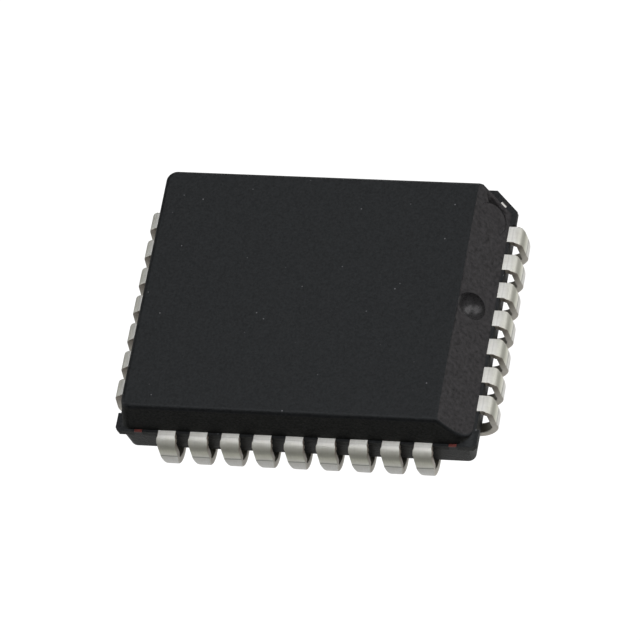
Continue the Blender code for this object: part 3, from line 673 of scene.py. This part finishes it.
class FormedLead:
    """Where each point of the flat blank lands once the lead is formed.

    Distances run along the middle of the sheet, from the body's wall outwards. A place is
    (distance out from the wall, height above the seating plane, turn from level).
    """

    def __init__(self):
        self.bend_radius = SHOULDER_RADIUS - LEAD_THICKNESS / 2
        self.foot_radius = FOOT_RADIUS - LEAD_THICKNESS / 2
        self.bend_angle = math.radians(90) - LEG_LEAN
        self.foot_angle = math.radians(90) + LEG_LEAN + TIP_CURL
        bend_drop = self.bend_radius * (1 - math.cos(self.bend_angle))
        bend_out = self.bend_radius * math.sin(self.bend_angle)
        foot_centre = self.foot_radius * math.cos(FOOT_FLAT / 2) + LEAD_THICKNESS / 2
        foot_start = foot_centre + self.foot_radius * math.sin(LEG_LEAN)
        self.leg = (LEAD_MIDDLE_HEIGHT - bend_drop - foot_start) / math.cos(LEG_LEAN)
        foot_bulge = self.foot_radius * (1 - math.cos(LEG_LEAN)) + LEAD_THICKNESS / 2
        self.shoulder = LEAD_REACH - foot_bulge - self.leg * math.sin(LEG_LEAN) - bend_out
        self.bend_end = self.shoulder + self.bend_radius * self.bend_angle
        self.foot_start = self.bend_end + self.leg
        self.tip = self.foot_start + self.foot_radius * self.foot_angle

    def place(self, distance):
        """Follows the shoulder, the bend, the leg and the foot in turn."""
        if distance <= self.shoulder:
            return distance, LEAD_MIDDLE_HEIGHT, 0
        turned = min((distance - self.shoulder) / self.bend_radius, self.bend_angle)
        out = self.shoulder + self.bend_radius * math.sin(turned)
        height = LEAD_MIDDLE_HEIGHT - self.bend_radius * (1 - math.cos(turned))
        down = min(max(distance - self.bend_end, 0), self.leg)
        out += down * math.sin(LEG_LEAN)
        height -= down * math.cos(LEG_LEAN)
        curled = max(distance - self.foot_start, 0) / self.foot_radius
        out += self.foot_radius * (math.cos(LEG_LEAN - curled) - math.cos(LEG_LEAN))
        height += self.foot_radius * (math.sin(LEG_LEAN - curled) - math.sin(LEG_LEAN))
        return out, height, turned + curled

    def forming_stations(self):
        """Distances where the formed part changes direction, with the leg's widest point."""
        to_flat = math.radians(90) + LEG_LEAN - FOOT_FLAT / 2
        bends = even_steps(0, self.bend_angle, BEND_SEGMENTS)
        curls = [0] + even_steps(LEG_LEAN, to_flat, FOOT_SEGMENTS)
        curls += even_steps(to_flat + FOOT_FLAT, self.foot_angle, TIP_SEGMENTS)
        stations = [self.shoulder + self.bend_radius * bend for bend in bends]
        return stations + [self.foot_start + self.foot_radius * curl for curl in curls]

    def outer_blank(self):
        """(distance, width) corners of the blank outside the wall."""
        stub = self.shoulder + self.bend_radius * STUB_START
        taper = self.foot_start - FOOT_TAPER_START
        return [
            (0, LEAD_WIDTH),
            (stub, LEAD_WIDTH),
            (stub + STUB_RAMP, STUB_WIDTH),
            (stub + STUB_LENGTH, STUB_WIDTH),
            (stub + STUB_LENGTH + STUB_RAMP, LEAD_WIDTH),
            (taper, LEAD_WIDTH),
            (taper + FOOT_TAPER_LENGTH, FOOT_WIDTH),
            (self.tip, FOOT_WIDTH),
        ]


def inner_blank(finger_length):
    """(distance, width) corners of the blank inside the plastic, from the tip to the wall."""
    lock_end = -LOCK_DEPTH - LOCK_RAMP
    lock_start = lock_end - LOCK_LENGTH
    return [
        (-finger_length, FINGER_TIP_WIDTH),
        (-FINGER_FAN_DEPTH, FINGER_WIDTH),
        (lock_start - LOCK_RAMP, FINGER_WIDTH),
        (lock_start, LOCK_WIDTH),
        (lock_end, LOCK_WIDTH),
        (lock_end + LOCK_RAMP, LEAD_WIDTH),
    ]


def between(corners, distance):
    """The width at a distance, read along straight runs between the blank's corners."""
    for (low, low_width), (high, high_width) in zip(corners, corners[1:]):
        if low <= distance <= high:
            share = (distance - low) / (high - low)
            return low_width + share * (high_width - low_width)
    return corners[-1][1]


def fan_shift(distance, finger_length, tip_shift):
    """How far the finger has moved sideways at a distance."""
    run = finger_length - FINGER_FAN_DEPTH
    share = min(max((-distance - FINGER_FAN_DEPTH) / run, 0), 1)
    return tip_shift * share


def lead_stations(form, finger_length, tip_shift):
    corners = inner_blank(finger_length) + form.outer_blank()
    distances = sorted({distance for distance, _ in corners} | set(form.forming_stations()))
    stations = []
    for distance in distances:
        out, height, turned = form.place(distance)
        shift = fan_shift(distance, finger_length, tip_shift)
        half_width = between(corners, distance) / 2
        stations.append((Vector((out, shift, height)), turned, half_width, distance))
    return stations


def bond_wire(name, pad, stitch):
    """A round gold wire from the ball on the die's pad to the stitch in the finger."""
    pad_level = DIE_HIGH.z + CLEARANCE
    ball = BALL_DIAMETER / WIRE_DIAMETER
    peak = DIE_HIGH.z + LOOP_HEIGHT
    middle = DIE_HIGH.z + LOOP_HEIGHT * LOOP_MIDDLE_HEIGHT_SHARE
    descent = LEAD_TOP_HEIGHT + LOOP_HEIGHT * LOOP_DESCENT_HEIGHT_SHARE
    low_end = LEAD_TOP_HEIGHT - WIRE_DIAMETER
    path = [
        (Vector((*pad, pad_level)), ball),
        (Vector((*pad, pad_level + BALL_HEIGHT)), ball),
        (Vector((*pad, pad_level + 2 * BALL_HEIGHT)), 1.0),
        (Vector((*pad.lerp(stitch, LOOP_PEAK_SHARE), peak)), 1.0),
        (Vector((*pad.lerp(stitch, LOOP_MIDDLE_SHARE), middle)), 1.0),
        (Vector((*pad.lerp(stitch, LOOP_DESCENT_SHARE), descent)), 1.0),
        (Vector((*stitch, low_end)), 1.0),
    ]
    curve = bpy.data.curves.new(name, "CURVE")
    curve.dimensions = "3D"
    curve.bevel_depth = WIRE_DIAMETER / 2
    curve.bevel_resolution = WIRE_ROUNDING
    curve.use_fill_caps = True
    spline = curve.splines.new("POLY")
    spline.points.add(len(path) - 1)
    for point, (place, swelling) in zip(spline.points, path):
        point.co = (*place, 1.0)
        point.radius = swelling
    drawn = bpy.data.objects.new(name, curve)
    bpy.context.scene.collection.objects.link(drawn)
    return drawn


class Side:
    """One side of the package. Local X points out of the wall, and local Y along it."""

    def __init__(self, angle, on_long_side):
        self.angle = angle
        die_x, die_y = DIE_HIGH.x, DIE_HIGH.y
        if on_long_side:
            self.leads, self.wall = LEADS_LONG_SIDE, HALF_WIDTH
            self.paddle, self.paddle_along = PADDLE_WIDTH / 2, PADDLE_LENGTH / 2
            self.die, self.die_along = die_y, die_x
        else:
            self.leads, self.wall = LEADS_SHORT_SIDE, HALF_LENGTH
            self.paddle, self.paddle_along = PADDLE_LENGTH / 2, PADDLE_WIDTH / 2
            self.die, self.die_along = die_x, die_y
        self.finger = self.wall - self.paddle - FINGER_TO_PADDLE

    def seats(self):
        """For each lead: its place along the wall, its tip's, and its pad's on the die."""
        last = (self.leads - 1) / 2
        tip_pitch = (self.paddle_along - TIP_FROM_PADDLE_CORNER) / last
        pad_pitch = (self.die_along - PAD_FROM_DIE_CORNER) / last
        for index in range(self.leads):
            step = index - last
            yield step * LEAD_PITCH, step * tip_pitch, step * pad_pitch

    def stand(self, made, along):
        made.location = Matrix.Rotation(self.angle, 3, "Z") @ Vector((self.wall, along, 0))
        made.rotation_euler.z = self.angle


def joined(name, first, second):
    """One piece from two, each with its own material."""
    bm = bmesh.new()
    for made in (first, second):
        start = len(bm.faces)
        bm.from_mesh(made.data)
        bm.faces.ensure_lookup_table()
        for face in bm.faces[start:]:
            face.material_index = 0 if made is first else 1
    mesh = bpy.data.meshes.new(name)
    bm.to_mesh(mesh)
    bm.free()
    for made in (first, second):
        bpy.data.objects.remove(made, do_unlink=True)
    piece = bpy.data.objects.new(name, mesh)
    bpy.context.scene.collection.objects.link(piece)
    return piece


def make_lead(number, side, seat, form, tin, gold):
    """One lead with its bond wire."""
    along, tip_along, pad_along = seat
    tip_shift = tip_along - along
    sheet = formed_sheet(lead_stations(form, side.finger, tip_shift), "lead_sheet")
    stitch_out = STITCH_FROM_TIP - side.finger
    stitch = Vector((stitch_out, fan_shift(stitch_out, side.finger, tip_shift)))
    pad = Vector((side.die - PAD_INSET - side.wall, pad_along - along))
    wire = bond_wire("wire", pad, stitch)
    for made in (sheet, wire):
        side.stand(made, along)
    bpy.context.view_layer.update()
    lead = joined(f"formed_lead_{number:02d}", baked(sheet, "metal"), baked(wire, "gold"))
    for material in (tin, gold):
        lead.data.materials.append(material)
    smooth_shading(lead, LEAD_SHARP_ANGLE)
    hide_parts(f"lead_{number:02d}")
    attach(lead, "root")


# Materials


class Nodes:
    """Short words for building a material's node tree."""

    def __init__(self, material):
        material.use_nodes = True
        self.tree = material.node_tree
        self.shader = self.tree.nodes["Principled BSDF"]

    def add(self, kind, **settings):
        node = self.tree.nodes.new(kind)
        for name, value in settings.items():
            setattr(node, name, value)
        return node

    def link(self, source, target):
        self.tree.links.new(source, target)

    def feed(self, value, socket):
        """Links a socket to another, or sets it to a colour or a number."""
        if isinstance(value, bpy.types.NodeSocket):
            self.link(value, socket)
        elif socket.type == "RGBA":
            socket.default_value = (*value, 1.0)
        else:
            socket.default_value = value

    def coordinates(self, output="Object"):
        return self.add("ShaderNodeTexCoord").outputs[output]

    def parts(self, vector):
        """The X, Y and Z of a vector, by their names."""
        node = self.add("ShaderNodeSeparateXYZ")
        self.link(vector, node.inputs["Vector"])
        return node.outputs

    def stretched(self, source, scale):
        mapping = self.add("ShaderNodeMapping")
        mapping.inputs["Scale"].default_value = scale
        self.link(source, mapping.inputs["Vector"])
        return mapping.outputs["Vector"]

    def noise(self, source, size, detail=3.0, roughness=0.5):
        """Noise whose blotches are about that big, in metres or in the source's units."""
        node = self.add("ShaderNodeTexNoise")
        node.inputs["Scale"].default_value = 1 / size
        node.inputs["Detail"].default_value = detail
        node.inputs["Roughness"].default_value = roughness
        self.link(source, node.inputs["Vector"])
        return node.outputs["Fac"]

    def ramp(self, source, low, high, start, end):
        """Runs from start to end while the source runs from low to high."""
        node = self.add("ShaderNodeMapRange")
        settings = {"From Min": low, "From Max": high, "To Min": start, "To Max": end}
        for name, value in settings.items():
            node.inputs[name].default_value = value
        self.link(source, node.inputs["Value"])
        return node.outputs["Result"]

    def graded(self, noise, start, end):
        """Runs from start to end over the values that a noise mostly has."""
        return self.ramp(noise, NOISE_LOW, NOISE_HIGH, start, end)

    def math(self, operation, *values):
        node = self.add("ShaderNodeMath", operation=operation)
        for value, socket in zip(values, node.inputs):
            self.feed(value, socket)
        return node.outputs["Value"]

    def shade(self, first, second, share):
        """Runs from 0 to 1 with two noises, the second of which has that share."""
        return self.math("ADD", self.graded(first, 0.0, 1 - share), self.graded(second, 0.0, share))

    def mix(self, share, first, second, blend_type="MIX"):
        """A colour between two, or made by blending them, each a colour or a socket."""
        node = self.add("ShaderNodeMix", data_type="RGBA", blend_type=blend_type)
        self.feed(share, node.inputs["Factor"])
        colours = [socket for socket in node.inputs if socket.type == "RGBA"]
        for value, socket in zip((first, second), colours):
            self.feed(value, socket)
        return [socket for socket in node.outputs if socket.type == "RGBA"][0]

    def bump(self, height, strength, depth, before=None):
        node = self.add("ShaderNodeBump")
        node.inputs["Strength"].default_value = strength
        node.inputs["Distance"].default_value = depth
        self.link(height, node.inputs["Height"])
        if before is not None:
            self.link(before, node.inputs["Normal"])
        return node.outputs["Normal"]

    def finish(self, colour, roughness, normal):
        self.link(colour, self.shader.inputs["Base Color"])
        self.link(roughness, self.shader.inputs["Roughness"])
        self.link(normal, self.shader.inputs["Normal"])


def filler_specks(nodes, place, share):
    """1 inside that share of the grains of filler, which show as specks, and 0 elsewhere."""
    cells = nodes.add("ShaderNodeTexVoronoi")
    cells.inputs["Scale"].default_value = 1 / SPECK_SPACING
    nodes.link(place, cells.inputs["Vector"])
    near = nodes.ramp(cells.outputs["Distance"], SPECK_CORE, SPECK_RIM, 1.0, 0.0)
    chosen = nodes.add("ShaderNodeSeparateColor")
    nodes.link(cells.outputs["Color"], chosen.inputs["Color"])
    rare = nodes.ramp(chosen.outputs["Red"], 1 - share, 1 - share / 2, 0.0, 1.0)
    return nodes.math("MULTIPLY", near, rare)


def epoxy_material(
    name, paleness, shine, tint, roughness=0.5, contrast=0.25, grain_size=0.09 * MM, specks=0.0
):
    """Moulding compound: near black, with a fine grain and a few pale specks of filler."""
    material = bpy.data.materials.new(name)
    nodes = Nodes(material)
    place = nodes.coordinates()
    grain = nodes.noise(place, grain_size, detail=FINE_DETAIL, roughness=ROUGH_NOISE)
    cloud = nodes.noise(place, EPOXY_CLOUD, detail=2.0)
    dark = [(1 - EPOXY_VARIETY) * paleness * part for part in tint]
    light = [(1 + EPOXY_VARIETY) * paleness * part for part in tint]
    colour = nodes.mix(nodes.shade(grain, cloud, EPOXY_CLOUD_SHARE), dark, light)
    colour = nodes.mix(filler_specks(nodes, place, specks), colour, SPECK_COLOUR)
    pits = nodes.math("MULTIPLY", nodes.noise(place, EPOXY_PITS), EPOXY_PIT_DEPTH)
    normal = nodes.bump(nodes.math("ADD", grain, pits), 1.0, EPOXY_RELIEF * contrast)
    gloss = nodes.graded(grain, roughness - EPOXY_GLOSS_CHANGE, roughness + EPOXY_GLOSS_CHANGE)
    glint = nodes.graded(grain, (1 - contrast) * shine, (1 + contrast) * shine)
    nodes.link(glint, nodes.shader.inputs["Specular IOR Level"])
    nodes.shader.inputs["Specular Tint"].default_value = (*tint, 1.0)
    nodes.finish(colour, gloss, normal)
    return material


def tone_and_painted_shade_along(nodes, along):
    """The tin's tone at a distance along the blank, with the painted light and shade that it holds.
    """
    longest = TIN_TONES_AND_PAINTED_SHADE[-1][0]
    tone = nodes.add("ShaderNodeValToRGB")
    nodes.link(nodes.ramp(along, 0.0, longest, 0.0, 1.0), tone.inputs["Fac"])
    stops = tone.color_ramp.elements
    ready = len(stops)
    for index, (distance, pale, blue) in enumerate(TIN_TONES_AND_PAINTED_SHADE):
        if index < ready:
            stop = stops[index]
            stop.position = distance / longest
        else:
            stop = stops.new(distance / longest)
        stop.color = (pale, pale, pale * blue, 1.0)
    return tone.outputs["Color"]


def tin_material():
    """Satin tin plate: pale where it's untouched, rubbed by forming, brown on the cut edges, and
    painted with light and shade along the blank and inside the bends.
    """
    material = bpy.data.materials.new("tin_plate_satin")
    nodes = Nodes(material)
    chart = nodes.coordinates("UV")
    place = nodes.coordinates()
    streak = nodes.noise(nodes.stretched(chart, TIN_STREAK_SCALE), TIN_STREAK)
    mottle = nodes.noise(place, TIN_MOTTLE, detail=FINE_DETAIL, roughness=ROUGH_NOISE)
    wander = nodes.graded(nodes.noise(place, TIN_WANDER_SIZE), -TIN_WANDER, TIN_WANDER)
    across = nodes.parts(chart)["X"]
    along = nodes.math("ADD", nodes.parts(chart)["Y"], wander)

    shade = nodes.shade(streak, mottle, TIN_MOTTLE_SHARE)
    # The face's colour is multiplied by the tone along the blank, which holds painted light and
    # shade
    face = nodes.mix(1.0, nodes.mix(shade, *TIN_FACE), tone_and_painted_shade_along(nodes, along), "MULTIPLY")
    leg_edge = nodes.mix(shade, *TIN_LEG_EDGE)
    foot_edge = nodes.mix(shade, *TIN_FOOT_EDGE)
    edge = nodes.mix(nodes.ramp(along, *TIN_EDGE_PALING, 0.0, 1.0), leg_edge, foot_edge)
    on_edge = nodes.ramp(nodes.math("ABSOLUTE", across), *TIN_EDGE_ACROSS, 0.0, 1.0)
    # Painted shade on the face inside the bends
    inside = nodes.ramp(across, *TIN_INSIDE_SHADE_ACROSS, 0.0, 1.0)
    colour = nodes.mix(inside, nodes.mix(on_edge, face, edge), nodes.mix(shade, *TIN_INSIDE_PAINTED_SHADE))

    fine = nodes.bump(nodes.noise(place, TIN_GRAIN), METAL_BUMP, METAL_RELIEF)
    normal = nodes.bump(streak, TIN_STREAK_BUMP, METAL_RELIEF, fine)
    nodes.shader.inputs["Metallic"].default_value = TIN_METALLIC
    nodes.finish(colour, nodes.graded(mottle, *TIN_ROUGHNESS), normal)
    return material


def metal_material(name, colours, roughness, grain_size, metallic=1.0):
    """A cloudy metal between two colours, a little rougher where it's lighter."""
    material = bpy.data.materials.new(name)
    nodes = Nodes(material)
    place = nodes.coordinates()
    cloud = nodes.noise(place, grain_size, detail=FINE_DETAIL)
    colour = nodes.mix(nodes.graded(cloud, 0.0, 1.0), *colours)
    gloss = nodes.graded(cloud, roughness - METAL_SMOOTHER, roughness + METAL_ROUGHER)
    normal = nodes.bump(nodes.noise(place, grain_size / METAL_FINENESS), METAL_BUMP, METAL_RELIEF)
    nodes.shader.inputs["Metallic"].default_value = metallic
    nodes.finish(colour, gloss, normal)
    return material


def copper_material():
    """Dull red copper, black below a wavy line just under its top face and so on its cut ends, and
    at pin 1 painted dark with a painted white glint.
    """
    material = metal_material("copper_sheet", COPPER_RED, 0.4, 0.1 * MM, COPPER_METALLIC)
    nodes = Nodes(material)
    red = nodes.shader.inputs["Base Color"].links[0].from_socket
    place = nodes.coordinates()
    parts = nodes.parts(place)
    # Black below a wavy line just under the top face
    black_line_wander = nodes.graded(nodes.noise(place, BLACK_LINE_WANDER_SIZE), -BLACK_LINE_WANDER, BLACK_LINE_WANDER)
    level = nodes.math("ADD", parts["Z"], black_line_wander)
    above_black_line = nodes.ramp(level, BLACK_BELOW_HEIGHT - BLACK_FADE, BLACK_BELOW_HEIGHT, 0.0, 1.0)
    colour = nodes.mix(above_black_line, COPPER_BLACK_BELOW_TOP, red)
    # At pin 1 the top is painted dark, with a painted white glint on its side towards the body
    towards_pin_one = nodes.math("ADD", parts["X"], parts["Y"])
    in_painted_glint_corner = nodes.ramp(towards_pin_one, PAINTED_GLINT_START, PAINTED_GLINT_START + PAINTED_GLINT_FADE, 0.0, 1.0)
    pale = nodes.ramp(towards_pin_one, PAINTED_GLINT_END, PAINTED_GLINT_END + PAINTED_GLINT_END_FADE, 1.0, 0.0)
    painted_glint_colour = nodes.mix(pale, *PAINTED_GLINT_ON_DARK)
    nodes.link(nodes.mix(in_painted_glint_corner, colour, painted_glint_colour), nodes.shader.inputs["Base Color"])
    return material


def dress_node(name, material):
    """Gives its material to a solid that stays as it is."""
    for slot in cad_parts[name].material_slots:
        slot.material = material


# Pieces


def make_body():
    body = upper_half()
    lower = [parting_flange(), lower_half()]
    marks = mould_marks()
    hollows = [cavity_from_node(name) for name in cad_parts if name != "moulded_body"]
    tools = lower + marks + hollows
    groups = [
        boolean(body, "UNION", lower),
        boolean(body, "DIFFERENCE", marks),
        boolean(body, "DIFFERENCE", hollows),
    ]
    body = baked(body, "moulded_epoxy")
    for tool in tools:
        bpy.data.objects.remove(tool, do_unlink=True)
    for group in groups:
        bpy.data.collections.remove(group)
    return body


def in_dimple(corner, pin):
    """Whether a corner lies on the dimple's wall or bottom."""
    away = corner - pin
    return max(away.xy.length, -away.z) < DIMPLE_MARGIN * DIMPLE_RADIUS


def finish_and_painted_light_of(face, corners, pin, mark):
    """The finish of a face of the body, which also paints light and shade: the dimple's far paler
    one is also on the ejector mark's step.
    """
    towards_bevel = face.normal.dot(BEVEL_NORMAL)
    in_mark = (face.center - mark).length < EJECTOR_MARGIN * EJECTOR_RADIUS
    if in_mark and abs(towards_bevel) < STEP_FACING:
        return "dimple"
    under_bevel = (face.center - BEVEL_FOOT).dot(BEVEL_NORMAL) < -ON_PLANE
    under_top = face.center.z < BODY_TOP - ON_PLANE
    if under_bevel and under_top and all(in_dimple(corner, pin) for corner in corners):
        return "dimple"
    if towards_bevel > BEVEL_FACING:
        return "bevel"
    if abs(face.normal.z) < WALL_FACING:
        return "wall"
    return "top"


def dress_body(body):
    """Each kind of face gets its own copy of the compound, painted lighter or darker by how it
    faces: the bevel paler and browner than the top, the walls darker, and the dimple far paler as a
    painted lit hollow.
    """
    for name, finish in EPOXY_FINISHES_AND_PAINTED_LIGHT.items():
        body.data.materials.append(epoxy_material(f"epoxy_{name}", **finish))
    order = list(EPOXY_FINISHES_AND_PAINTED_LIGHT)
    pin = dimple_centre()
    mark = ejector_place().translation
    for face in body.data.polygons:
        corners = [body.data.vertices[index].co for index in face.vertices]
        face.material_index = order.index(finish_and_painted_light_of(face, corners, pin, mark))
    smooth_shading(body, BODY_SHARP_ANGLE)
    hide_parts("moulded_body")
    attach(body, "root")


def make_leads(tin, gold):
    """All the leads, numbered anticlockwise from the middle one of the pin-1 side."""
    form = FormedLead()
    quarter = math.radians(90)
    sides = [Side(index * quarter, index % 2 == 1) for index in range(4)]
    lead_count = sum(side.leads for side in sides)
    counted = 0
    for side in sides:
        for seat in side.seats():
            number = (counted - LEADS_SHORT_SIDE // 2) % lead_count + 1
            make_lead(number, side, seat, form, tin, gold)
            counted += 1


# Stage


def make_camera():
    data = bpy.data.cameras.new("camera")
    data.lens = LENS_MM
    data.sensor_width = SENSOR_MM
    data.clip_start = CAMERA_NEAR
    data.clip_end = CAMERA_FAR
    camera = bpy.data.objects.new("camera", data)
    camera.location = CAMERA_PLACE
    looking = (CAMERA_AIM - CAMERA_PLACE).to_track_quat("-Z", "Y").to_matrix()
    camera.rotation_euler = (looking @ Matrix.Rotation(CAMERA_ROLL, 3, "Z")).to_euler()
    bpy.context.scene.collection.objects.link(camera)
    bpy.context.scene.camera = camera


def floor_material():
    """Plain pale floor that looks white, and shines a little on the part close by."""
    material = bpy.data.materials.new("floor_white")
    nodes = Nodes(material)
    inputs = nodes.shader.inputs
    inputs["Base Color"].default_value = (FLOOR_GREY, FLOOR_GREY, FLOOR_GREY, 1.0)
    inputs["Roughness"].default_value = FLOOR_ROUGHNESS
    inputs["Emission Color"].default_value = (1.0, 1.0, 1.0, 1.0)
    parts = nodes.parts(nodes.coordinates())
    beyond = [
        nodes.math("SUBTRACT", nodes.math("ABSOLUTE", parts[axis]), reach)
        for axis, reach in (("X", cad_high.x), ("Y", cad_high.y))
    ]
    shine = nodes.ramp(nodes.math("MAXIMUM", *beyond), 0.0, FLOOR_SHINE_FADE, FLOOR_SHINE, 0.0)
    nodes.link(shine, inputs["Emission Strength"])
    glow = nodes.add("ShaderNodeEmission")
    glow.inputs["Strength"].default_value = FLOOR_GLOW
    seen = nodes.add("ShaderNodeLightPath")
    choice = nodes.add("ShaderNodeMixShader")
    nodes.link(seen.outputs["Is Camera Ray"], choice.inputs["Fac"])
    nodes.link(nodes.shader.outputs["BSDF"], choice.inputs[1])
    nodes.link(glow.outputs["Emission"], choice.inputs[2])
    nodes.link(choice.outputs["Shader"], nodes.tree.nodes["Material Output"].inputs["Surface"])
    return material


def make_floor():
    bm = bmesh.new()
    bmesh.ops.create_grid(bm, x_segments=1, y_segments=1, size=FLOOR_HALF_SIZE)
    floor = object_from(bm, "floor")
    floor.data.materials.append(floor_material())


def area_light(name, place, size, glow):
    """A round soft light that faces the part and glows that strongly all over."""
    area = math.pi * (size / 2) ** 2
    data = bpy.data.lights.new(name, "AREA")
    data.shape = "DISK"
    data.size = size
    data.energy = glow * math.pi * area
    light = bpy.data.objects.new(name, data)
    light.location = place
    light.rotation_euler = Vector(place).to_track_quat("Z", "Y").to_euler()
    bpy.context.scene.collection.objects.link(light)


def make_light():
    world = bpy.data.worlds.new("studio")
    bpy.context.scene.world = world
    world.use_nodes = True
    background = world.node_tree.nodes["Background"]
    background.inputs["Color"].default_value = (1.0, 1.0, 1.0, 1.0)
    background.inputs["Strength"].default_value = SKY_STRENGTH
    for name, light in LIGHTS.items():
        area_light(name, **light)
    bpy.context.scene.view_settings.view_transform = "Standard"
    bpy.context.scene.view_settings.look = "None"


make_camera()
make_floor()
make_light()
make_leads(tin_material(), metal_material("gold_wire", GOLD, 0.25, 0.05 * MM))
dress_body(make_body())
dress_node("die_paddle", copper_material())
dress_node("die_attach", metal_material("die_attach_glue", SILVER_GLUE, 0.6, 0.05 * MM))
dress_node("silicon_die", metal_material("silicon_polished", SILICON, 0.2, 0.4 * MM))
